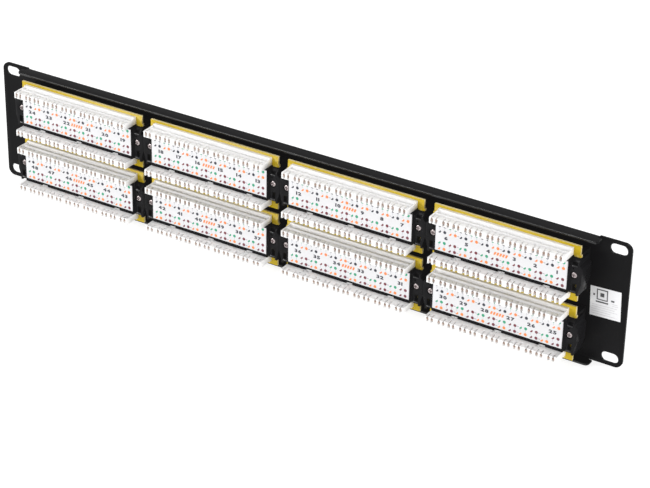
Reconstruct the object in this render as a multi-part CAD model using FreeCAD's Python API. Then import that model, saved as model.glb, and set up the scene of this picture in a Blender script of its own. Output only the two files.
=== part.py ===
"""Rear-punch-down patch panel, two rack units, 48 ports in eight modules of six.

Units are millimetres. The origin is the centre of the four rack slots on the rear
face of the sheet. +Z is up, +X runs along the panel, +Y points out of the rear, so
the sockets open towards -Y and the wiring strips stand towards +Y.
"""

import os

import FreeCAD
import Part

Vector = FreeCAD.Vector

# Sheet metal panel
PANEL_W = 482.6
PANEL_H = 87.3
SHEET = 1.6
EAR_CORNER_R = 5.0
FLANGE_HALF_W = 222.2
FLANGE_REAR_Y = 8.9
BEND_OUT_R = 2.0
BEND_IN_R = 0.4
FLANGE_CORNER_R = 3.0
FLANGE_EDGE_R = 0.5
RELIEF_X = 219.3
RELIEF_Y = 2.6
SLOT_PITCH_X = 465.1
SLOT_PITCH_Z = 76.2
SLOT_LENGTH = 11.8
SLOT_HEIGHT = 7.0
WINDOW_W = 96.0
WINDOW_H = 16.0

# Module grid
COLUMNS = 4
COLUMN_PITCH = 108.69
ROW_Z = (21.95, -20.27)
PORTS = 6
PORT_PITCH = 15.5

# Jack housing
BODY_HALF_W = 50.9
BODY_HALF_H = 13.0
NOSE_HALF_W = 47.7
NOSE_HALF_H = 7.7
NOSE_FRONT_Y = -5.0
NOSE_CHAMFER = 0.5
SOCKET_W = 11.9
SOCKET_LOW_Z = -2.0
SOCKET_TOP_Z = 4.8
SOCKET_REAR_Y = 8.4
LATCH_STEPS = ((6.2, -3.5, 5.0), (3.4, -4.9, 2.0))
CATCH_X = (-31.0, 0.0, 31.0)
CATCH_W = 7.0
CATCH_RISE = 0.9
CATCH_RUN = 1.8
CATCH_GAP = 0.1
BOSS_HALF_W = 52.8
BOSS_HALF_H = 4.5
BOSS_FRONT_Y = 3.0

# Spring contacts in each socket
PINS = 8
PIN_PITCH = 1.02
PIN_T = 0.45
PIN_TIP = (-2.6, 4.55)
PIN_BEND = (7.4, 2.1)
PIN_WAY_HALF_H = 0.6

# Circuit board
BOARD_HALF_W = 50.65
BOARD_LOW_Z = -19.45
BOARD_TOP_Z = 18.9
BOARD_FRONT_Y = 12.05
BOARD_REAR_Y = 13.65
BOARD_NUB_Z = (11.3, 13.0)
BOARD_NUB_OUT = 0.8
BOARD_HOLE_GAP = 0.2

# Wiring strips; depths are measured outwards from the strip's inner face
STRIP_SHIFT_X = 0.45
STRIP_HALF_W = 46.4
STRIP_UPPER_Z = 12.1
STRIP_LOWER_Z = -12.05
STRIP_REAR_Y = 27.2
STRIP_DEPTH = 4.5
STRIP_EDGE = 0.3
GROOVES = ((23.4, 21.5, 20.8, 1.3), (20.0, 16.6, 16.0, 1.4))
GROOVE_END = 0.6
HEEL_REAR_Y = 16.3
HEEL_RISE = 0.65
WIRE_SLOT_W = 2.0
WIRE_SLOT_SHIFT_X = 0.15
WIRE_SLOT_OFFSETS = (2.03, 5.2)
WIRE_SLOT_IN = 0.5
WIRE_SLOT_OUT = 4.2
WIRE_SLOT_FLOOR_Y = 22.2
SLIT_W = 0.7
SLIT_FLOOR_Y = 23.2
OPEN_FLOOR_Y = 25.6
TAB_CENTRES = (-32.4, -1.4, 29.6)
TAB_W = 4.7
TAB_RISE = 0.95
TAB_REAR_Y = 18.7
TAB_GAP = 0.15
TAB_HOLE = (1.5, 1.5, 1.6)
TAB_NOTCH = (1.0, 2.2, 1.6)
STEM_GAP = 0.05

# Forked wiring contacts
FORK_W = 1.96
FORK_T = 0.9
FORK_DEPTH = 2.25
FORK_TIP_Y = 26.6
FORK_GAP = 0.42
FORK_ROOT_Y = 20.6
FORK_LEAD = (0.2, 0.8)

# Rear cover
BAR_HALF_W = 46.4
BAR_Z = (-11.9, 11.8)
BAR_REAR_Y = 19.6
EAR_REAR_Y = 17.6
EAR_HALF_W = 52.4
EAR_TOP_Z = 11.0
EAR_SLOPE_Z = 8.5
FOOT_X = (51.2, 52.6)
FOOT_Z = -13.2
LOBE_HALF_W = 54.25
LOBE_Z = (-5.0, 6.0)
LOBE_RUN = (6.0, 1.6)
EAR_RIBS = ((6.4, 7.3), (-11.3, -10.4))
RIB_X = (47.4, 51.0)
RIB_RISE = 0.45
SKIRT_T = 1.2
SKIRT_FRONT_Y = 5.0
COVER_WALL = 1.8
COVER_END_WALL = 2.4
SKIRT_GAP = 0.25
EAR_PIT_AT = (48.5, 5.0)
EAR_PIT_R = 0.6
EAR_PIT_DEPTH = 1.2
EAR_WINDOW_X = (48.6, 51.1)
EAR_WINDOW_Z = (-10.0, -5.5)
EAR_POCKET_X = (47.5, 51.1)
EAR_POCKET_Z = (7.4, 9.5)
EAR_POCKET_DEPTH = 2.2

# Label card
CARD_HALF_W = 45.75
CARD_SHIFT_X = 0.3
CARD_Z = (-9.75, 9.7)
CARD_FRONT_Y = 19.1
CARD_T = 0.3
CARD_GAP = 0.1

# Cover screws
SCREW_X = 49.0
SCREW_Z = 0.3
HEAD_R = 2.2
HEAD_SEAT_Y = 15.9
HEAD_HEIGHT = 1.5
HEAD_ROUND = 0.8
HEAD_GAP = 0.35
SHANK_R = 1.25
SHANK_END_Y = 4.2
SHANK_TIP = 0.5
SHANK_GAP = 0.25
PILOT_GAP = 0.05
PILOT_RUN = 0.4
CROSS_REACH = 1.35
CROSS_HALF_W = 0.35
CROSS_DEPTH = 0.9

# Rating sticker
STICKER_SIZE = (20.8, 20.4)
STICKER_CENTRE = (-226.8, -1.1)
STICKER_TILT = 2.4
STICKER_T = 0.15


def block(x0, x1, y0, y1, z0, z1):
    """A box given by its limits along each axis."""
    return Part.makeBox(x1 - x0, y1 - y0, z1 - z0, Vector(x0, y0, z0))


def rod(x, z, y0, y1, radius):
    """A cylinder along Y."""
    return Part.makeCylinder(radius, y1 - y0, Vector(x, y0, z), Vector(0, 1, 0))


def prism_x(points, x0, x1):
    """Extrude a closed outline of (y, z) points from x0 to x1."""
    loop = [Vector(x0, y, z) for y, z in points]
    face = Part.Face(Part.makePolygon(loop + loop[:1]))
    return face.extrude(Vector(x1 - x0, 0, 0))


def prism_y(points, y0, y1):
    """Extrude a closed outline of (x, z) points from y0 to y1."""
    loop = [Vector(x, y0, z) for x, z in points]
    face = Part.Face(Part.makePolygon(loop + loop[:1]))
    return face.extrude(Vector(0, y1 - y0, 0))


def edges_along(shape, axis, test):
    """Straight edges parallel to an axis whose midpoint passes a test."""
    found = []
    for edge in shape.Edges:
        ends = [v.Point for v in edge.Vertexes]
        if len(ends) != 2 or not isinstance(edge.Curve, Part.Line):
            continue
        run = (ends[1] - ends[0]).normalize()
        if abs(run.dot(axis)) > 0.999 and test((ends[0] + ends[1]) * 0.5):
            found.append(edge)
    return found


def port_centres():
    """X of each socket, from the -X end of a module."""
    return [(i - (PORTS - 1) / 2) * PORT_PITCH for i in range(PORTS)]


def module_centres():
    """Module positions in port order: ports 1-6 first, along +X, upper row first."""
    centres = []
    for z in ROW_Z:
        for column in range(COLUMNS):
            x = (column - (COLUMNS - 1) / 2) * COLUMN_PITCH
            centres.append(Vector(x, 0, z))
    return centres


def wire_slot_centres():
    """X of the 24 wire slots: pairs either side of each port boundary."""
    centres = []
    for boundary in range(-PORTS // 2, PORTS // 2 + 1):
        for offset in WIRE_SLOT_OFFSETS:
            for side in (-1, 1):
                centres.append(boundary * PORT_PITCH + side * offset)
    reach = STRIP_HALF_W - WIRE_SLOT_W / 2
    return sorted(x + WIRE_SLOT_SHIFT_X for x in centres if abs(x) < reach)


def obround(x, z, run_x, run_z, r, y0, y1):
    """A round-ended cutter along Y; its end centres lie run_x, run_z either side."""
    wide = (run_x, r) if run_x else (r, run_z)
    middle = block(x - wide[0], x + wide[0], y0, y1, z - wide[1], z + wide[1])
    ends = [rod(x + s * run_x, z + s * run_z, y0, y1, r) for s in (-1, 1)]
    return middle.fuse(ends)


def make_panel():
    """Flanged 19-inch sheet with ears, rack slots and eight module windows."""
    half_w = PANEL_W / 2
    half_h = PANEL_H / 2
    web = block(-half_w, half_w, -SHEET, 0, -half_h, half_h)
    corners = edges_along(web, Vector(0, 1, 0), lambda p: True)
    web = web.makeFillet(EAR_CORNER_R, corners)
    channel = block(-FLANGE_HALF_W, FLANGE_HALF_W, -SHEET, FLANGE_REAR_Y, -half_h, half_h)
    inner_h = half_h - SHEET
    hollow = block(-half_w, half_w, 0, FLANGE_REAR_Y + 1, -inner_h, inner_h)
    channel = channel.cut(hollow)
    outer = edges_along(channel, Vector(1, 0, 0), lambda p: p.y < -SHEET / 2)
    channel = channel.makeFillet(BEND_OUT_R, outer)
    inner = edges_along(
        channel,
        Vector(1, 0, 0),
        lambda p: abs(p.y) < 0.01 and abs(abs(p.z) - inner_h) < 0.01,
    )
    channel = channel.makeFillet(BEND_IN_R, inner)
    ends = edges_along(channel, Vector(0, 0, 1), lambda p: p.y > FLANGE_REAR_Y - 0.01)
    channel = channel.makeFillet(FLANGE_CORNER_R, ends)
    rims = edges_along(channel, Vector(1, 0, 0), lambda p: p.y > FLANGE_REAR_Y - 0.01)
    channel = channel.makeFillet(FLANGE_EDGE_R, rims)
    for sz in (-1, 1):
        z0, z1 = sorted((sz * inner_h, sz * (half_h + 1)))
        web = web.cut(block(-RELIEF_X, RELIEF_X, -SHEET - 1, 1, z0, z1))
        z0, z1 = sorted((sz * (inner_h - 1), sz * (half_h + 1)))
        for sx in (-1, 1):
            x0, x1 = sorted((sx * RELIEF_X, sx * (FLANGE_HALF_W + 1)))
            channel = channel.cut(block(x0, x1, -SHEET - 1, RELIEF_Y, z0, z1))
    panel = web.fuse(channel).removeSplitter()
    cutters = []
    for sx in (-1, 1):
        for sz in (-1, 1):
            x = sx * SLOT_PITCH_X / 2
            z = sz * SLOT_PITCH_Z / 2
            r = SLOT_HEIGHT / 2
            cutters.append(obround(x, z, SLOT_LENGTH / 2 - r, 0, r, -SHEET - 1, 1))
    for c in module_centres():
        x0 = c.x - WINDOW_W / 2
        z0 = c.z - WINDOW_H / 2
        cutters.append(block(x0, x0 + WINDOW_W, -SHEET - 1, 1, z0, z0 + WINDOW_H))
    return panel.cut(cutters)


def socket_cutter(x):
    """The cavity of one socket, its stepped latch way and the slot for its contacts."""
    low, top = SOCKET_LOW_Z, SOCKET_TOP_Z
    mouth = NOSE_FRONT_Y - 1
    cavity = block(x - SOCKET_W / 2, x + SOCKET_W / 2, mouth, SOCKET_REAR_Y, low, top)
    steps = []
    for width, floor, rear in LATCH_STEPS:
        steps.append(block(x - width / 2, x + width / 2, mouth, rear, floor, low + 0.5))
    half = (PINS - 1) / 2 * PIN_PITCH + PIN_T
    z = PIN_BEND[1]
    z0, z1 = z - PIN_WAY_HALF_H, z + PIN_WAY_HALF_H
    steps.append(block(x - half, x + half, SOCKET_REAR_Y - 1, BOARD_FRONT_Y + 1, z0, z1))
    return cavity.fuse(steps)


def make_jack_housing():
    """One-piece body of six sockets: block behind the panel, nose through the window."""
    w, h = BODY_HALF_W, BODY_HALF_H
    body = block(-w, w, 0, BOARD_FRONT_Y, -h, h)
    nose = block(-NOSE_HALF_W, NOSE_HALF_W, NOSE_FRONT_Y, 1, -NOSE_HALF_H, NOSE_HALF_H)
    front = edges_along(nose, Vector(1, 0, 0), lambda p: p.y < NOSE_FRONT_Y + 0.01)
    nose = nose.makeChamfer(NOSE_CHAMFER, front)
    pieces = [nose]
    catch_y = -SHEET - CATCH_GAP
    for x in CATCH_X:
        for side in (-1, 1):
            z = side * NOSE_HALF_H
            tip = side * (NOSE_HALF_H + CATCH_RISE)
            outline = ((catch_y, z), (catch_y, tip), (catch_y - CATCH_RUN, z))
            pieces.append(prism_x(outline, x - CATCH_W / 2, x + CATCH_W / 2))
    for side in (-1, 1):
        x0, x1 = sorted((side * (w - 1), side * BOSS_HALF_W))
        z0 = SCREW_Z - BOSS_HALF_H
        z1 = SCREW_Z + BOSS_HALF_H
        pieces.append(block(x0, x1, BOSS_FRONT_Y, BOARD_FRONT_Y, z0, z1))
    housing = body.fuse(pieces).removeSplitter()
    cutters = [socket_cutter(x) for x in port_centres()]
    for side in (-1, 1):
        x = side * SCREW_X
        y0, y1 = SHANK_END_Y - PILOT_RUN, BOARD_FRONT_Y + 1
        cutters.append(rod(x, SCREW_Z, y0, y1, SHANK_R + PILOT_GAP))
    return housing.cut(cutters)


def make_jack_contacts():
    """Eight bent spring wires in each of the six sockets."""
    t = PIN_T
    (y0, z0), (y1, z1) = PIN_TIP, PIN_BEND
    run = Vector(y1 - y0, z1 - z0, 0).normalize()
    up = Vector(-run.y, run.x, 0) * (t / 2)
    outline = (
        (y0 - up.x, z0 - up.y),
        (y1, z1 - t / 2),
        (BOARD_FRONT_Y, z1 - t / 2),
        (BOARD_FRONT_Y, z1 + t / 2),
        (y1, z1 + t / 2),
        (y0 + up.x, z0 + up.y),
    )
    wires = []
    for x in port_centres():
        for i in range(PINS):
            xi = x + (i - (PINS - 1) / 2) * PIN_PITCH
            wires.append(prism_x(outline, xi - t / 2, xi + t / 2))
    return Part.makeCompound(wires)


def make_circuit_board():
    """Board with locating nubs on its side edges and open notches for the screws."""
    w = BOARD_HALF_W
    board = block(-w, w, BOARD_FRONT_Y, BOARD_REAR_Y, BOARD_LOW_Z, BOARD_TOP_Z)
    nubs = []
    cutters = []
    for side in (-1, 1):
        x0, x1 = sorted((side * (w - 1), side * (w + BOARD_NUB_OUT)))
        nubs.append(block(x0, x1, BOARD_FRONT_Y, BOARD_REAR_Y, *BOARD_NUB_Z))
        r = SHANK_R + BOARD_HOLE_GAP
        x0, x1 = sorted((side * SCREW_X, side * (w + 1)))
        y0, y1 = BOARD_FRONT_Y - 1, BOARD_REAR_Y + 1
        cutters.append(block(x0, x1, y0, y1, SCREW_Z - r, SCREW_Z + r))
        cutters.append(rod(side * SCREW_X, SCREW_Z, y0, y1, r))
    return board.fuse(nubs).removeSplitter().cut(cutters)


def strip_section():
    """Section of a strip as (y, depth), with broken rear corners and a heel at the board."""
    edge = STRIP_EDGE
    return (
        (BOARD_REAR_Y, 0.0),
        (STRIP_REAR_Y - edge, 0.0),
        (STRIP_REAR_Y, edge),
        (STRIP_REAR_Y, STRIP_DEPTH - edge),
        (STRIP_REAR_Y - edge, STRIP_DEPTH),
        (HEEL_REAR_Y, STRIP_DEPTH),
        (HEEL_REAR_Y, STRIP_DEPTH + HEEL_RISE),
        (BOARD_REAR_Y, STRIP_DEPTH + HEEL_RISE),
    )


def groove_sections():
    """Sections of the two grooves along a strip's outer face, each with one sloped wall."""
    over = HEEL_RISE + 0.3
    sections = []
    for rear, foot, front, cut in GROOVES:
        floor = STRIP_DEPTH - cut
        slope = (foot - front) / cut
        top = STRIP_DEPTH + over
        sections.append(((rear, top), (rear, floor), (foot, floor), (front - over * slope, top)))
    return sections


def make_strip(inner_z, out, lower):
    """Wiring strip with 24 wire slots; out is +1 or -1, the side the wires leave.

    The lower strip's slots break out of its outer face near the mouth, and it has the
    cover's locating tabs.
    """

    def z(depth):
        return inner_z + out * depth

    def slab(x, half, y0, y1, d0, d1):
        z0, z1 = sorted((z(d0), z(d1)))
        return block(x - half, x + half, y0, y1, z0, z1)

    outline = [(y, z(depth)) for y, depth in strip_section()]
    strip = prism_x(outline, -STRIP_HALF_W, STRIP_HALF_W)
    mouth = STRIP_REAR_Y + 1
    half = WIRE_SLOT_W / 2
    middle = (WIRE_SLOT_IN + WIRE_SLOT_OUT) / 2
    run = (WIRE_SLOT_OUT - WIRE_SLOT_IN) / 2 - half
    d0 = FORK_DEPTH - FORK_T / 2 - STEM_GAP
    d1 = FORK_DEPTH + FORK_T / 2 + STEM_GAP
    cutters = []
    run_x = STRIP_HALF_W - GROOVE_END
    for section in groove_sections():
        cutters.append(prism_x([(y, z(depth)) for y, depth in section], -run_x, run_x))
    for x in wire_slot_centres():
        pocket = obround(x, z(middle), 0, run, half, WIRE_SLOT_FLOOR_Y, mouth)
        slit = slab(x, SLIT_W / 2, SLIT_FLOOR_Y, mouth, -1, STRIP_DEPTH + 1)
        stem = slab(x, half, BOARD_REAR_Y - 1, WIRE_SLOT_FLOOR_Y + 1, d0, d1)
        pieces = [slit, stem]
        if lower:
            pieces.append(slab(x, half, OPEN_FLOOR_Y, mouth, middle, STRIP_DEPTH + 1))
        cutters.append(pocket.fuse(pieces))
    if lower:
        y0 = BAR_REAR_Y - 0.1
        for x in TAB_CENTRES:
            strip = strip.fuse(slab(x, TAB_W / 2, BOARD_REAR_Y, TAB_REAR_Y, -TAB_RISE, 1))
            width, length, deep = TAB_HOLE
            cutters.append(slab(x, width / 2, y0, y0 + length, -2, deep))
            width, length, deep = TAB_NOTCH
            beside = x + (TAB_W + width) / 2
            cutters.append(slab(beside, width / 2, y0, y0 + length, -2, deep))
    return strip.removeSplitter().cut(cutters)


def make_forks(inner_z, out):
    """The 24 forked contacts of one strip, each filling its slot's width."""
    half = FORK_W / 2
    gap = FORK_GAP / 2
    flare, run = FORK_LEAD
    outline = (
        (-half, BOARD_REAR_Y),
        (half, BOARD_REAR_Y),
        (half, FORK_TIP_Y),
        (gap + flare, FORK_TIP_Y),
        (gap, FORK_TIP_Y - run),
        (gap, FORK_ROOT_Y),
        (-gap, FORK_ROOT_Y),
        (-gap, FORK_TIP_Y - run),
        (-gap - flare, FORK_TIP_Y),
        (-half, FORK_TIP_Y),
    )
    z0 = inner_z + out * FORK_DEPTH - FORK_T / 2
    forks = []
    for x in wire_slot_centres():
        loop = [Vector(x + dx, y, z0) for dx, y in outline]
        face = Part.Face(Part.makePolygon(loop + loop[:1]))
        forks.append(face.extrude(Vector(0, 0, FORK_T)))
    return forks


def cover_ear(side):
    """End of the cover on one side: screw ear, side lobe and skirt towards the panel."""
    low, top = BAR_Z[0], EAR_TOP_Z
    lobe_low, lobe_top = LOBE_Z
    inner = BAR_HALF_W - 1

    def outline(grow):
        edge = EAR_HALF_W + grow
        lobe = LOBE_HALF_W + grow
        points = (
            (inner, low),
            (FOOT_X[0] + grow, low),
            (FOOT_X[0] + grow, FOOT_Z),
            (FOOT_X[1] + grow, FOOT_Z),
            (edge, lobe_low - LOBE_RUN[0]),
            (lobe, lobe_low),
            (lobe, lobe_top),
            (edge, lobe_top + LOBE_RUN[1]),
            (edge, top),
            (inner, top),
        )
        return [(side * x, z) for x, z in points]

    solid = prism_y(outline(0), SKIRT_FRONT_Y, EAR_REAR_Y)
    pocket = prism_y(outline(-SKIRT_T), SKIRT_FRONT_Y - 1, BOARD_REAR_Y)
    far = side * (LOBE_HALF_W + 2)
    slope = prism_x(
        ((EAR_REAR_Y + 0.1, EAR_SLOPE_Z), (EAR_REAR_Y + 0.1, top + 1), (BOARD_REAR_Y, top + 1)),
        *sorted((side * inner, far)),
    )
    x0, x1 = sorted((side * (inner - 1), side * (BOARD_HALF_W + SKIRT_GAP)))
    behind = block(x0, x1, SKIRT_FRONT_Y - 1, BOARD_REAR_Y, low - 2, top + 1)
    return solid.cut([pocket, slope, behind])


def make_cover():
    """Black cover: raised bar that carries the card, and a screw ear at each end."""
    w = BAR_HALF_W
    low, top = BAR_Z
    bar = block(-w, w, BOARD_REAR_Y, BAR_REAR_Y, low, top)
    pieces = [cover_ear(-1), cover_ear(1)]
    for side in (-1, 1):
        x0, x1 = sorted((side * RIB_X[0], side * RIB_X[1]))
        for z0, z1 in EAR_RIBS:
            crest = (EAR_REAR_Y + RIB_RISE, (z0 + z1) / 2)
            base = EAR_REAR_Y - 1
            outline = ((base, z0), (EAR_REAR_Y, z0), crest, (EAR_REAR_Y, z1), (base, z1))
            pieces.append(prism_x(outline, x0, x1))
    cover = bar.fuse(pieces).removeSplitter()
    wall = COVER_WALL
    end = w - COVER_END_WALL
    cutters = [block(-end, end, 0, BAR_REAR_Y - wall, low + wall, top - wall)]
    reach = TAB_W / 2 + TAB_GAP
    for x in TAB_CENTRES:
        z1 = STRIP_LOWER_Z + TAB_RISE + TAB_GAP
        x0, x1 = x + STRIP_SHIFT_X - reach, x + STRIP_SHIFT_X + reach
        cutters.append(block(x0, x1, BOARD_REAR_Y - 1, BAR_REAR_Y + 1, low - 1, z1))
    reach = CARD_HALF_W + CARD_GAP
    x0, x1 = CARD_SHIFT_X - reach, CARD_SHIFT_X + reach
    z0, z1 = CARD_Z[0], CARD_Z[1] + CARD_GAP
    cutters.append(block(x0, x1, CARD_FRONT_Y, BAR_REAR_Y + 1, z0, z1))
    for side in (-1, 1):
        x = side * SCREW_X
        cutters.append(rod(x, SCREW_Z, HEAD_SEAT_Y, BAR_REAR_Y + 1, HEAD_R + HEAD_GAP))
        cutters.append(rod(x, SCREW_Z, 0, BAR_REAR_Y, SHANK_R + SHANK_GAP))
        x, z = EAR_PIT_AT
        y0 = EAR_REAR_Y - EAR_PIT_DEPTH
        cutters.append(rod(side * x, z, y0, BAR_REAR_Y + 1, EAR_PIT_R))
        x0, x1 = sorted(side * x for x in EAR_WINDOW_X)
        cutters.append(block(x0, x1, 0, BAR_REAR_Y + 1, *EAR_WINDOW_Z))
        x0, x1 = sorted(side * x for x in EAR_POCKET_X)
        y0 = EAR_REAR_Y - EAR_POCKET_DEPTH
        cutters.append(block(x0, x1, y0, BAR_REAR_Y + 1, *EAR_POCKET_Z))
    return cover.cut(cutters)


def make_card():
    """Thin printed card in the cover's recess."""
    x0 = CARD_SHIFT_X - CARD_HALF_W
    x1 = CARD_SHIFT_X + CARD_HALF_W
    return block(x0, x1, CARD_FRONT_Y, CARD_FRONT_Y + CARD_T, *CARD_Z)


def make_screw(x):
    """Pan-head screw with a cross recess, driven towards the panel."""
    y0, y1 = HEAD_SEAT_Y, HEAD_SEAT_Y + HEAD_HEIGHT
    head = rod(x, SCREW_Z, y0, y1, HEAD_R)
    rim = [e for e in head.Edges if abs(e.CenterOfMass.y - y1) < 0.01]
    head = head.makeFillet(HEAD_ROUND, rim)
    shank = rod(x, SCREW_Z, SHANK_END_Y, y0, SHANK_R)
    tip = [e for e in shank.Edges if abs(e.CenterOfMass.y - SHANK_END_Y) < 0.01]
    shank = shank.makeChamfer(SHANK_TIP, tip)
    cross = []
    for dx, dz in ((CROSS_REACH, CROSS_HALF_W), (CROSS_HALF_W, CROSS_REACH)):
        z0, z1 = SCREW_Z - dz, SCREW_Z + dz
        cross.append(block(x - dx, x + dx, y1 - CROSS_DEPTH, y1 + 1, z0, z1))
    return head.fuse(shank).cut(cross)


def make_sticker():
    """Square label stuck slightly askew on the rear of the sheet."""
    w, h = STICKER_SIZE
    x, z = STICKER_CENTRE
    sticker = block(x - w / 2, x + w / 2, 0, STICKER_T, z - h / 2, z + h / 2)
    sticker.rotate(Vector(x, 0, z), Vector(0, 1, 0), STICKER_TILT)
    return sticker


def placed(shape, at):
    """A copy of a shape moved by a vector."""
    copy = shape.copy()
    copy.translate(at)
    return copy


def save(name, shape):
    """Write one node."""
    shape.exportStep(os.path.join("parts", name + ".step"))


def main():
    """Build each module shape once and write a placed copy for every module."""
    os.makedirs("parts", exist_ok=True)
    aside = Vector(STRIP_SHIFT_X, 0, 0)
    upper = placed(make_strip(STRIP_UPPER_Z, 1, False), aside)
    lower = placed(make_strip(STRIP_LOWER_Z, -1, True), aside)
    forks = make_forks(STRIP_UPPER_Z, 1) + make_forks(STRIP_LOWER_Z, -1)
    forks = [placed(fork, aside) for fork in forks]
    screws = [make_screw(-SCREW_X), make_screw(SCREW_X)]
    shapes = {
        "jack_housing": make_jack_housing(),
        "jack_contacts": make_jack_contacts(),
        "circuit_board": make_circuit_board(),
        "idc_strip_upper": upper,
        "idc_strip_lower": lower,
        "rear_cover": make_cover(),
        "label_card": make_card(),
    }
    all_forks = []
    all_screws = []
    for number, centre in enumerate(module_centres(), 1):
        for name, shape in shapes.items():
            save(f"{name}_{number}", placed(shape, centre))
        all_forks += [placed(fork, centre) for fork in forks]
        all_screws += [placed(screw, centre) for screw in screws]
    save("idc_contacts", Part.makeCompound(all_forks))
    save("cover_screws", Part.makeCompound(all_screws))
    save("panel", make_panel())
    save("sticker", make_sticker())


main()
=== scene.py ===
import math

import bmesh
import bpy
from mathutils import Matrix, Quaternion, Vector


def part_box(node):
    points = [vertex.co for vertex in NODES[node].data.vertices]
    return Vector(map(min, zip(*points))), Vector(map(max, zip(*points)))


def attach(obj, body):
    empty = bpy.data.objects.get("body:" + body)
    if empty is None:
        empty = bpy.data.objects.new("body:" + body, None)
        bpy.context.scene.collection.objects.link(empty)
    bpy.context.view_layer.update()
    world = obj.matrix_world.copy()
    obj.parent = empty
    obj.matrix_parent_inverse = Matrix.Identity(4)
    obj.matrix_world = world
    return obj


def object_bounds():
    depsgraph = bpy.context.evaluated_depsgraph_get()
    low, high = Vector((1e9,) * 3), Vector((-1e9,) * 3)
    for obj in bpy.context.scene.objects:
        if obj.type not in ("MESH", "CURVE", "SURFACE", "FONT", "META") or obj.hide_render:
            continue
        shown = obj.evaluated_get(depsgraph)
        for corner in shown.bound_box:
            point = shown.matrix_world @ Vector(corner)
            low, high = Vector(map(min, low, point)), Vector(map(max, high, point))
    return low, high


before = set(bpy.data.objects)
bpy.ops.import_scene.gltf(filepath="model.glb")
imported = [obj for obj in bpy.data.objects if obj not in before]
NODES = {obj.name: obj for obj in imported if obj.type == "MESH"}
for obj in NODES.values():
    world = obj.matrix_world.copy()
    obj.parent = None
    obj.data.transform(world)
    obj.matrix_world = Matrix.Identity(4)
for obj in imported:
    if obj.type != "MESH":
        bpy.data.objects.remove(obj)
CAD_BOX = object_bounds()
MM = 0.001

# The scene adds materials, soft edges and print to the CAD nodes; nothing is moved.
# Sizes are in mm where MM turns them into metres, and in metres otherwise.

# Module grid, as in the CAD
COLUMNS = 4
COLUMN_PITCH = 108.69
ROW_Z = (21.95, -20.27)
MODULES = [((c - (COLUMNS - 1) / 2) * COLUMN_PITCH, z) for z in ROW_Z for c in range(COLUMNS)]
PORTS = 6
PORT_PITCH = 15.5
CARD_Y = 19.4
PRINT_LIFT = 0.03

# Bands of depth where the panel's and the covers' finish is shinier
RIM_Y = (8.3, 8.5)
RIB_Y = (17.64, 18.3)

# Faint painted glow on the black parts: painted light, not a lamp, that lifts their shadows and keeps
# them readable
PAINTED_GLOW_COLOUR = (1.0, 0.97, 1.0, 1.0)
PAINTED_GLOW_STRENGTH = 0.006

# Sockets of Blender's Mix node when it mixes colours
MIX_A = 6
MIX_B = 7
MIX_RESULT = 2


# ---------------------------------------------------------------- materials

class Tree:
    """Small helper for building one material's nodes."""

    def __init__(self, name):
        self.material = bpy.data.materials.new(name)
        self.material.use_nodes = True
        self.nodes = self.material.node_tree.nodes
        self.links = self.material.node_tree.links
        self.shader = self.nodes["Principled BSDF"]
        place = self.add("ShaderNodeTexCoord")
        self.coords = place.outputs["Object"]
        self.normals = place.outputs["Normal"]

    def add(self, kind, **values):
        node = self.nodes.new(kind)
        for key, value in values.items():
            setattr(node, key, value)
        return node

    def link(self, a, b):
        self.links.new(a, b)

    def stretch(self, x, y, z):
        """Object coordinates scaled along each axis."""
        node = self.add("ShaderNodeMapping")
        node.inputs["Scale"].default_value = (x, y, z)
        self.link(self.coords, node.inputs["Vector"])
        return node.outputs["Vector"]

    def noise(self, scale, detail, vector=None, distortion=0.0):
        node = self.add("ShaderNodeTexNoise")
        node.inputs["Scale"].default_value = scale
        node.inputs["Detail"].default_value = detail
        node.inputs["Roughness"].default_value = 0.55
        node.inputs["Distortion"].default_value = distortion
        self.link(vector or self.coords, node.inputs["Vector"])
        return node.outputs["Fac"]

    def bands(self, direction, scale, distortion):
        node = self.add("ShaderNodeTexWave", wave_type="BANDS", bands_direction=direction)
        node.inputs["Scale"].default_value = scale
        node.inputs["Distortion"].default_value = distortion
        self.link(self.coords, node.inputs["Vector"])
        return node.outputs["Fac"]

    def depth(self):
        """How far a point lies along Y."""
        node = self.add("ShaderNodeSeparateXYZ")
        self.link(self.coords, node.inputs["Vector"])
        return node.outputs["Y"]

    def ramp(self, fac, stops):
        node = self.add("ShaderNodeValToRGB")
        ramp = node.color_ramp
        while len(ramp.elements) < len(stops):
            ramp.elements.new(0.5)
        for element, (at, colour) in zip(ramp.elements, stops):
            element.position = at
            element.color = (*colour, 1.0)
        self.link(fac, node.inputs["Fac"])
        return node.outputs["Color"]

    def spread(self, fac, low, high, lo_in=0.3, hi_in=0.7):
        """A value's lo_in to hi_in brought to low to high."""
        node = self.add("ShaderNodeMapRange")
        node.inputs["From Min"].default_value = lo_in
        node.inputs["From Max"].default_value = hi_in
        node.inputs["To Min"].default_value = low
        node.inputs["To Max"].default_value = high
        self.link(fac, node.inputs["Value"])
        return node.outputs["Result"]

    def maths(self, operation, a, b):
        node = self.add("ShaderNodeMath", operation=operation)
        for socket, value in zip(node.inputs, (a, b)):
            if isinstance(value, (int, float)):
                socket.default_value = value
            else:
                self.link(value, socket)
        return node.outputs["Value"]

    def mix(self, fac, a, b):
        node = self.add("ShaderNodeMix", data_type="RGBA")
        if isinstance(fac, float):
            node.inputs["Factor"].default_value = fac
        else:
            self.link(fac, node.inputs["Factor"])
        self.link(a, node.inputs[MIX_A])
        self.link(b, node.inputs[MIX_B])
        return node.outputs[MIX_RESULT]

    def bump(self, height, strength, distance, below=None):
        node = self.add("ShaderNodeBump")
        node.inputs["Strength"].default_value = strength
        node.inputs["Distance"].default_value = distance
        self.link(height, node.inputs["Height"])
        if below is not None:
            self.link(below, node.inputs["Normal"])
        return node.outputs["Normal"]

    def set(self, **values):
        for name, value in values.items():
            socket = self.shader.inputs[name.replace("_", " ")]
            if isinstance(value, bpy.types.NodeSocket):
                self.link(value, socket)
            else:
                socket.default_value = value


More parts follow.
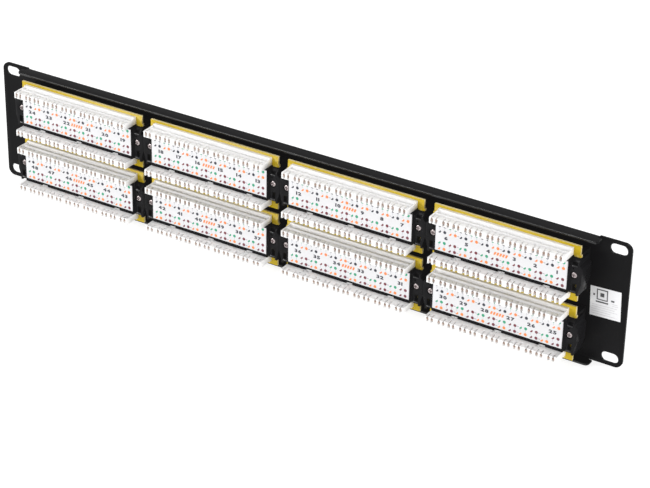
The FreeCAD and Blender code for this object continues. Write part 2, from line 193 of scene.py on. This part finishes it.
def powder_coat():
    """Semi-gloss black powder coat: orange-peel bump, faint haze, flange rims rubbed shiny."""
    t = Tree("powder_coat")
    haze = t.noise(22.0, 4.0)
    peel = t.noise(1400.0, 2.0)
    grain = t.noise(5200.0, 2.0)
    coat = t.ramp(haze, ((0.3, (0.0026, 0.0026, 0.003)), (0.75, (0.0038, 0.0038, 0.0043))))
    t.set(Base_Color=coat)
    rim = t.spread(t.depth(), 0.0, 1.0, RIM_Y[0] * MM, RIM_Y[1] * MM)
    polish = t.maths("MULTIPLY", rim, 0.12)
    t.set(Roughness=t.maths("SUBTRACT", t.spread(haze, 0.34, 0.44), polish))
    low = t.bump(peel, 0.16, 0.00012)
    t.set(Normal=t.bump(grain, 0.1, 0.00004, low))
    t.set(Specular_IOR_Level=t.spread(rim, 0.06, 0.5, 0.0, 1.0))
    # painted glow: faint emission that lifts the coat's shadows so they read lighter
    t.set(Emission_Color=PAINTED_GLOW_COLOUR, Emission_Strength=PAINTED_GLOW_STRENGTH)
    return t.material


def coat_edge():
    """The same coat where it rounds the sheet's edges, handled smooth and shiny; its colour, a touch
    lighter than the main coat's, is partly rubbed wear and partly a painted highlight.
    """
    t = Tree("powder_coat_edge")
    haze = t.noise(40.0, 4.0)
    # lighter than the main coat: part rubbed wear, part painted highlight along the rounded edges
    t.set(Base_Color=t.ramp(haze, ((0.3, (0.004, 0.004, 0.0045)), (0.75, (0.007, 0.007, 0.008)))))
    t.set(Roughness=t.spread(haze, 0.24, 0.34))
    t.set(Specular_IOR_Level=0.5)
    return t.material


def black_plastic(name, dark, light, low, high, gloss, ribs=None):
    """Moulded black plastic, spark-eroded; ribs is the (y, y) band of polished raised ribs."""
    t = Tree(name)
    cloud = t.noise(60.0, 4.0)
    spark = t.noise(6500.0, 2.0)
    t.set(Base_Color=t.ramp(cloud, ((0.3, dark), (0.7, light))))
    t.set(Roughness=t.spread(cloud, low, high))
    t.set(Normal=t.bump(spark, 0.14, 0.00005))
    t.set(Specular_IOR_Level=gloss)
    # painted glow: faint emission that lifts the plastic's shadows so they read lighter
    t.set(Emission_Color=PAINTED_GLOW_COLOUR, Emission_Strength=PAINTED_GLOW_STRENGTH)
    if ribs:
        depth = t.depth()
        above = t.maths("GREATER_THAN", depth, ribs[0] * MM)
        below = t.maths("LESS_THAN", depth, ribs[1] * MM)
        on_rib = t.maths("MULTIPLY", above, below)
        t.set(Specular_IOR_Level=t.spread(on_rib, gloss, 0.8, 0.0, 1.0))
    return t.material


def white_plastic():
    """White moulded strips: satin, slightly translucent, faint flow marks along the moulding."""
    t = Tree("white_plastic")
    flow = t.noise(55.0, 4.0, vector=t.stretch(0.25, 1.0, 1.0), distortion=0.6)
    fine = t.noise(4200.0, 2.0)
    t.set(Base_Color=t.ramp(flow, ((0.25, (0.865, 0.858, 0.855)), (0.75, (0.913, 0.908, 0.903)))))
    t.set(Roughness=t.spread(flow, 0.34, 0.44))
    t.set(Subsurface_Weight=0.12, Subsurface_Scale=0.0012, Subsurface_Radius=(1.0, 0.97, 0.95))
    t.set(Normal=t.bump(fine, 0.05, 0.00005))
    return t.material


def board_lacquer():
    """Yellow solder mask with a trace of glass weave; bare pale laminate on the cut edges."""
    t = Tree("board_lacquer")
    weave = t.maths("MULTIPLY", t.bands("X", 520.0, 1.2), t.bands("Z", 520.0, 1.2))
    cloud = t.noise(30.0, 3.0)
    mask = t.ramp(cloud, ((0.3, (0.53, 0.37, 0.004)), (0.7, (0.64, 0.46, 0.007))))
    cloth = t.ramp(weave, ((0.0, (0.49, 0.34, 0.004)), (1.0, (0.68, 0.5, 0.01))))
    facing = t.add("ShaderNodeSeparateXYZ")
    t.link(t.normals, facing.inputs["Vector"])
    face = t.spread(t.maths("ABSOLUTE", facing.outputs["Y"], 0.0), 0.0, 1.0, 0.6, 0.8)
    bare = t.ramp(cloud, ((0.3, (0.6, 0.5, 0.24)), (0.7, (0.7, 0.59, 0.31))))
    t.set(Base_Color=t.mix(face, bare, t.mix(0.3, mask, cloth)))
    t.set(Roughness=t.spread(cloud, 0.25, 0.36))
    t.set(Subsurface_Weight=0.06, Subsurface_Scale=0.0008, Subsurface_Radius=(1.0, 0.8, 0.2))
    t.set(Normal=t.bump(weave, 0.08, 0.00004))
    t.set(Specular_IOR_Level=0.32)
    return t.material


def paper(name, low, high, rough):
    """Coated printed stock with a trace of fibre."""
    t = Tree(name)
    fibre = t.noise(1600.0, 5.0, vector=t.stretch(0.35, 1.0, 1.0), distortion=0.8)
    t.set(Base_Color=t.ramp(fibre, ((0.3, low), (0.7, high))))
    t.set(Roughness=t.spread(fibre, rough, rough + 0.1))
    t.set(Normal=t.bump(fibre, 0.04, 0.00003))
    return t.material


def ink(name, colour, fade):
    """Printing ink, a little uneven in coverage; fade is how far its thin spots go to white."""
    t = Tree(name)
    blotch = t.noise(2600.0, 3.0)
    pale = tuple(c + (0.8 - c) * fade for c in colour)
    t.set(Base_Color=t.ramp(blotch, ((0.25, pale), (0.6, colour))))
    t.set(Roughness=t.spread(blotch, 0.5, 0.62))
    return t.material


def metal(name, dull, bright, low, high, metallic=1.0):
    """Bare or plated metal with fine wear."""
    t = Tree(name)
    wear = t.noise(900.0, 4.0)
    t.set(Metallic=metallic)
    t.set(Base_Color=t.ramp(wear, ((0.3, dull), (0.7, bright))))
    t.set(Roughness=t.spread(wear, low, high))
    t.set(Normal=t.bump(wear, 0.06, 0.00003))
    return t.material


MAT = {
    "powder_coat": powder_coat(),
    "coat_edge": coat_edge(),
    "cover": black_plastic(
        "cover_plastic", (0.004, 0.004, 0.0045), (0.006, 0.006, 0.007), 0.24, 0.34, 0.09, RIB_Y
    ),
    "housing": black_plastic(
        "housing_plastic", (0.003, 0.003, 0.003), (0.0045, 0.0045, 0.0045), 0.38, 0.5, 0.08
    ),
    "white": white_plastic(),
    "board": board_lacquer(),
    "card": paper("card_stock", (0.73, 0.725, 0.74), (0.77, 0.765, 0.78), 0.45),
    "sticker": paper("sticker_paper", (0.81, 0.81, 0.825), (0.86, 0.86, 0.875), 0.4),
    "fork": metal("contact_bronze", (0.56, 0.43, 0.36), (0.7, 0.56, 0.48), 0.42, 0.55, 0.3),
    "gold": metal("contact_gold", (0.75, 0.52, 0.2), (0.9, 0.68, 0.32), 0.2, 0.32),
    "chrome": metal("screw_plating", (0.36, 0.31, 0.31), (0.56, 0.5, 0.5), 0.16, 0.3),
}


def paint(obj, material):
    """Give an object one material."""
    obj.data.materials.clear()
    obj.data.materials.append(material)


def soften(obj, width, segments=2):
    """Round an object's hard edges with a bevel of some tenths of a mm; its flats stay flat."""
    weld = obj.modifiers.new("weld", "WELD")
    weld.merge_threshold = 1e-6
    bevel = obj.modifiers.new("bevel", "BEVEL")
    bevel.width = width * MM
    bevel.segments = segments
    bevel.limit_method = "ANGLE"
    bevel.angle_limit = math.radians(30.0)
    bevel.use_clamp_overlap = True
    bevel.harden_normals = True
    for polygon in obj.data.polygons:
        polygon.use_smooth = True
    return bevel


# ---------------------------------------------------------------- mesh tools

class Plate:
    """Collects flat printed shapes that face along Y and makes one object of them."""

    def __init__(self):
        self.verts = []
        self.faces = []

    def shape(self, points, y):
        """A closed outline of (x, z) points in mm."""
        start = len(self.verts)
        self.verts += [(x * MM, y * MM, z * MM) for x, z in points]
        self.faces.append(tuple(range(start, start + len(points))))

    def mesh(self, name, material, facing):
        data = bpy.data.meshes.new(name)
        data.from_pydata(self.verts, [], self.faces)
        obj = bpy.data.objects.new(name, data)
        bpy.context.scene.collection.objects.link(obj)
        bm = bmesh.new()
        bm.from_mesh(data)
        for face in bm.faces:
            face.normal_update()
            if face.normal.y * facing < 0:
                face.normal_flip()
        bm.to_mesh(data)
        bm.free()
        paint(obj, material)
        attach(obj, "root")
        return obj


def disc(x, z, r):
    """Outline of a circle."""
    steps = 20
    angles = [math.tau * i / steps for i in range(steps)]
    return [(x + r * math.cos(a), z + r * math.sin(a)) for a in angles]


def half_disc(x, z, r):
    """Outline of a half circle, cut along a slanting line."""
    steps = 12
    angles = [math.radians(135) + math.pi * i / steps for i in range(steps + 1)]
    return [(x + r * math.cos(a), z + r * math.sin(a)) for a in angles]


def bar(x, z, w, h, slant=0.0):
    """Outline of a bar; slant is how far its top leans along X."""
    lean = slant / 2
    return [
        (x - w / 2 - lean, z - h / 2),
        (x + w / 2 - lean, z - h / 2),
        (x + w / 2 + lean, z + h / 2),
        (x - w / 2 + lean, z + h / 2),
    ]


DIGIT_WEIGHT = 0.055


def glyphs():
    """Meshes of the digits 0 to 9, one unit high, as lists of faces of (x, z)."""
    found = {}
    for digit in "0123456789":
        curve = bpy.data.curves.new("digit", "FONT")
        curve.body = digit
        curve.resolution_u = 3
        curve.offset = DIGIT_WEIGHT
        obj = bpy.data.objects.new("digit", curve)
        bpy.context.scene.collection.objects.link(obj)
        bpy.context.view_layer.update()
        graph = bpy.context.evaluated_depsgraph_get()
        data = bpy.data.meshes.new_from_object(obj.evaluated_get(graph))
        points = [v.co for v in data.vertices]
        low = min(p.y for p in points)
        high = max(p.y for p in points)
        left = min(p.x for p in points)
        right = max(p.x for p in points)
        k = 1.0 / (high - low)
        flat = [((p.x - left) * k, (p.y - low) * k) for p in points]
        faces = [[flat[i] for i in polygon.vertices] for polygon in data.polygons]
        found[digit] = (faces, (right - left) * k)
        bpy.data.objects.remove(obj)
        bpy.data.meshes.remove(data)
        bpy.data.curves.remove(curve)
    return found


DIGITS = glyphs()


def write(plate, text, x, z, height, y, mirror=1, widen=1.0, gap=0.16):
    """Print a number centred on (x, z); mirror is -1 when it reads from the rear."""
    widths = [DIGITS[c][1] * widen for c in text]
    total = sum(widths) + gap * (len(text) - 1)
    at = -total / 2
    for char, width in zip(text, widths):
        for face in DIGITS[char][0]:
            points = []
            for px, pz in face:
                points.append((x + mirror * height * (at + px * widen), z + height * (pz - 0.5)))
            plate.shape(points, y)
        at += width + gap


# ---------------------------------------------------------------- CAD nodes

for number in range(1, len(MODULES) + 1):
    housing = NODES[f"jack_housing_{number}"]
    paint(housing, MAT["housing"])
    soften(housing, 0.18)
    paint(NODES[f"jack_contacts_{number}"], MAT["gold"])
    board = NODES[f"circuit_board_{number}"]
    paint(board, MAT["board"])
    soften(board, 0.12)
    for level in ("upper", "lower"):
        strip = NODES[f"idc_strip_{level}_{number}"]
        paint(strip, MAT["white"])
        soften(strip, 0.22)
    cover = NODES[f"rear_cover_{number}"]
    paint(cover, MAT["cover"])
    soften(cover, 0.22)
    paint(NODES[f"label_card_{number}"], MAT["card"])

paint(NODES["panel"], MAT["powder_coat"])
NODES["panel"].data.materials.append(MAT["coat_edge"])
soften(NODES["panel"], 0.45, 3).material = 1
paint(NODES["sticker"], MAT["sticker"])
paint(NODES["cover_screws"], MAT["chrome"])
soften(NODES["cover_screws"], 0.08)
paint(NODES["idc_contacts"], MAT["fork"])


# ---------------------------------------------------------------- rear card print

INKS = {
    "navy": ink("ink_navy", (0.012, 0.014, 0.03), 0.1),
    "orange": ink("ink_orange", (0.88, 0.25, 0.05), 0.12),
    "amber": ink("ink_amber", (0.9, 0.27, 0.05), 0.12),
    "green": ink("ink_green", (0.012, 0.33, 0.17), 0.12),
    "maroon": ink("ink_maroon", (0.16, 0.012, 0.028), 0.1),
    "grey": ink("ink_grey", (0.32, 0.32, 0.37), 0.2),
    "pale": ink("ink_pale", (0.52, 0.54, 0.57), 0.2),
}
DOT_ROWS = (
    (8.1, "navy", "green"),
    (4.0, "navy", "orange"),
    (-3.65, "green", "maroon"),
    (-7.85, "amber", "maroon"),
)
TICK_ROWS = (6.05, -5.75)
PAIRS = 12
PAIR_PITCH = 7.48
HALF_DOT_U = -43.3
FULL_DOT_U = -39.55
DOT_R = 1.06
HALF_DOT_R = 1.13
DASH_SIZE = (1.4, 0.42)
DASH_BACK = 2.05
TICK_SIZE = (0.3, 1.9)
NUMBER_Z = 0.2
NUMBER_U = (-38.5, -24.0, -8.8, 9.4, 23.8, 38.7)
NUMBER_H = 2.5
CATEGORY_BARS = 5
CATEGORY_X = 4.0
CATEGORY_PITCH = 2.0
CATEGORY_SIZE = (1.3, 2.2)
CATEGORY_SLANT = -0.8


def print_dots(plates, mx, mz, y):
    """Colour-code dots, split and whole by turns, with dashes and ticks between them."""
    for z, first, second in DOT_ROWS:
        for pair in range(PAIRS):
            plate = plates[second if pair % 2 else first]
            half_x = mx - HALF_DOT_U - PAIR_PITCH * pair
            full_x = mx - FULL_DOT_U - PAIR_PITCH * pair
            plate.shape(half_disc(half_x, mz + z, HALF_DOT_R), y)
            plate.shape(disc(full_x, mz + z, DOT_R), y)
            if pair % 2 and pair < PAIRS - 1:
                plates["grey"].shape(bar(full_x - DASH_BACK, mz + z, *DASH_SIZE), y)
    for z in TICK_ROWS:
        for step in range(2 * PAIRS):
            x = mx - HALF_DOT_U - PAIR_PITCH / 2 * step
            plates["pale"].shape(bar(x, mz + z, *TICK_SIZE), y)


def print_cards():
    """Everything printed on the eight rear cards; the category mark is five plain bars."""
    plates = {name: Plate() for name in INKS}
    y = CARD_Y + PRINT_LIFT
    for index, (mx, mz) in enumerate(MODULES):
        print_dots(plates, mx, mz, y)
        for slot, u in enumerate(NUMBER_U):
            number = str((index + 1) * PORTS - slot)
            x = mx - u
            write(plates["navy"], number, x, mz + NUMBER_Z, NUMBER_H, y, mirror=-1, widen=1.5, gap=0.2)
        for step in range(CATEGORY_BARS):
            x = mx + CATEGORY_X - CATEGORY_PITCH * step
            plates["orange"].shape(bar(x, mz + NUMBER_Z, *CATEGORY_SIZE, CATEGORY_SLANT), y)
    for name, plate in plates.items():
        obj = plate.mesh(f"card_print_{name}", INKS[name], 1)


print_cards()


# ---------------------------------------------------------------- sticker print

# Bars as (u, z, width, height) from the sticker's centre; u runs against X
STICKER_TILT = 2.4
MARK_BARS = (
    (-5.7, 5.2, 0.7, 7.5),
    (1.1, 5.2, 0.7, 7.5),
    (-2.3, 1.8, 7.5, 0.7),
    (-2.3, 8.6, 7.5, 0.7),
    (-2.3, 5.2, 2.6, 2.6),
    (-7.8, 4.6, 1.2, 1.4),
    (4.8, 2.6, 2.2, 1.2),
    (-2.4, 0.1, 8.4, 1.0),
)
SIDE_NOTES = ((6.4, 0.6, 3.4), (6.6, -0.6, 4.0))
SIDE_NOTE_H = 0.38
LINE_WIDTHS = (17.0, 15.5, 17.4, 13.0, 16.2)
LINE_START_U = -9.3
LINE_TOP_Z = -2.2
LINE_PITCH = 1.55
LINE_H = 0.34


def print_sticker():
    """Plain square outline and grey text bars, turned with the sticker."""
    low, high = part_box("sticker")
    centre = (low + high) / 2
    cx, cz = centre.x / MM, centre.z / MM
    y = high.y / MM + PRINT_LIFT
    tilt = math.radians(STICKER_TILT)
    mark = Plate()
    text = Plate()

    def turned(points):
        out = []
        for px, pz in points:
            dx, dz = px - cx, pz - cz
            x = cx + dx * math.cos(tilt) + dz * math.sin(tilt)
            z = cz - dx * math.sin(tilt) + dz * math.cos(tilt)
            out.append((x, z))
        return out

    def put(plate, u, z, w, h):
        plate.shape(turned(bar(cx - u, cz + z, w, h)), y)

    for u, z, w, h in MARK_BARS:
        put(mark, u, z, w, h)
    for row, wide in enumerate(LINE_WIDTHS):
        put(text, LINE_START_U + wide / 2, LINE_TOP_Z - LINE_PITCH * row, wide, LINE_H)
    for u, z, w in SIDE_NOTES:
        put(text, u, z, w, SIDE_NOTE_H)
    mark.mesh("sticker_mark", ink("ink_mark", (0.05, 0.05, 0.055), 0.1), 1)
    text.mesh("sticker_text", ink("ink_text", (0.58, 0.58, 0.6), 0.5), 1)


print_sticker()


# ---------------------------------------------------------------- front print

FRONT_NUMBER_Z = 11.4
FRONT_NUMBER_H = 2.6


def print_front():
    """Port numbers in white above each socket on the front of the sheet."""
    plate = Plate()
    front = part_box("panel")[0].y / MM
    y = front - PRINT_LIFT
    for index, (mx, mz) in enumerate(MODULES):
        for port in range(PORTS):
            x = mx + (port - (PORTS - 1) / 2) * PORT_PITCH
            number = str(index * PORTS + port + 1)
            write(plate, number, x, mz + FRONT_NUMBER_Z, FRONT_NUMBER_H, y)
    plate.mesh("front_numbers", ink("ink_white", (0.8, 0.8, 0.8), 0.0), -1)


print_front()


# ---------------------------------------------------------------- floor, light, camera

FLOOR_DROP = 0.0005
FLOOR_REACH = 14.0


def make_floor():
    """Plain pale floor under the panel's lower edge."""
    data = bpy.data.meshes.new("floor")
    z = CAD_BOX[0].z - FLOOR_DROP
    r = FLOOR_REACH
    data.from_pydata([(-r, -r, z), (r, -r, z), (r, r, z), (-r, r, z)], [], [(0, 1, 2, 3)])
    floor = bpy.data.objects.new("floor", data)
    bpy.context.scene.collection.objects.link(floor)
    t = Tree("floor_paint")
    cloud = t.noise(3.0, 3.0)
    t.set(Base_Color=t.ramp(cloud, ((0.3, (0.3, 0.3, 0.3)), (0.7, (0.32, 0.32, 0.32)))))
    t.set(Roughness=0.9, Specular_IOR_Level=0.1)
    t.set(Emission_Color=(1.0, 1.0, 1.0, 1.0), Emission_Strength=0.85)
    floor.data.materials.append(t.material)


def area_light(name, place, target, size, power):
    """Soft square white light aimed at a point."""
    data = bpy.data.lights.new(name, "AREA")
    data.shape = "SQUARE"
    data.size = size
    data.energy = power
    lamp = bpy.data.objects.new(name, data)
    bpy.context.scene.collection.objects.link(lamp)
    lamp.location = place
    aim = Vector(target) - Vector(place)
    lamp.rotation_mode = "QUATERNION"
    lamp.rotation_quaternion = aim.to_track_quat("-Z", "Y")


# Height on the unit sphere, and brightness there, where the white walls end and the ceiling starts
WALLS = (0.15, 0.65)
CEILING = (0.75, 0.24)


def make_surround():
    """White walls all round that fade to a dimmer ceiling."""
    world = bpy.data.worlds.new("surround")
    world.use_nodes = True
    nodes = world.node_tree.nodes
    links = world.node_tree.links
    split = nodes.new("ShaderNodeSeparateXYZ")
    links.new(nodes.new("ShaderNodeTexCoord").outputs["Generated"], split.inputs["Vector"])
    fade = nodes.new("ShaderNodeMapRange")
    fade.inputs["From Min"].default_value = WALLS[0]
    fade.inputs["From Max"].default_value = CEILING[0]
    fade.inputs["To Min"].default_value = WALLS[1]
    fade.inputs["To Max"].default_value = CEILING[1]
    links.new(split.outputs["Z"], fade.inputs["Value"])
    nodes["Background"].inputs["Color"].default_value = (1.0, 1.0, 1.0, 1.0)
    links.new(fade.outputs["Result"], nodes["Background"].inputs["Strength"])
    bpy.context.scene.world = world


def make_lights():
    """White surround, a low soft key behind, and weaker lamps above, beside and in front."""
    make_surround()
    area_light("key", (1.55, 2.2, 0.66), (0, 0, 0), 1.0, 33.0)
    area_light("glint", (0.87, 1.38, 2.37), (0, 0, 0), 0.4, 15.0)
    area_light("top", (0.3, -0.5, 2.4), (0, 0, 0), 0.8, 9.0)
    area_light("side", (-2.6, 0.55, 0.3), (-0.1, 0, 0), 0.6, 28.0)
    area_light("front", (-0.9, -2.2, 1.6), (0, 0, 0), 1.5, 48.0)


CAMERA_PLACE = (-0.708025, 1.119212, 0.696050)
CAMERA_TARGET = (-0.024593, 0.0, -0.020970)
CAMERA_ROLL = 1.105
CAMERA_LENS = 125.886
SENSOR_WIDTH = 36.0


def make_camera():
    """Long-lens view from behind and above the panel's -X end."""
    data = bpy.data.cameras.new("camera")
    data.sensor_width = SENSOR_WIDTH
    data.lens = CAMERA_LENS
    data.clip_start = 0.05
    data.clip_end = 60.0
    camera = bpy.data.objects.new("camera", data)
    bpy.context.scene.collection.objects.link(camera)
    camera.location = CAMERA_PLACE
    aim = Vector(CAMERA_TARGET) - Vector(CAMERA_PLACE)
    roll = Quaternion((0, 0, 1), math.radians(CAMERA_ROLL))
    camera.rotation_mode = "QUATERNION"
    camera.rotation_quaternion = aim.to_track_quat("-Z", "Y") @ roll
    bpy.context.scene.camera = camera


make_floor()
make_lights()
make_camera()
bpy.context.scene.view_settings.view_transform = "Standard"
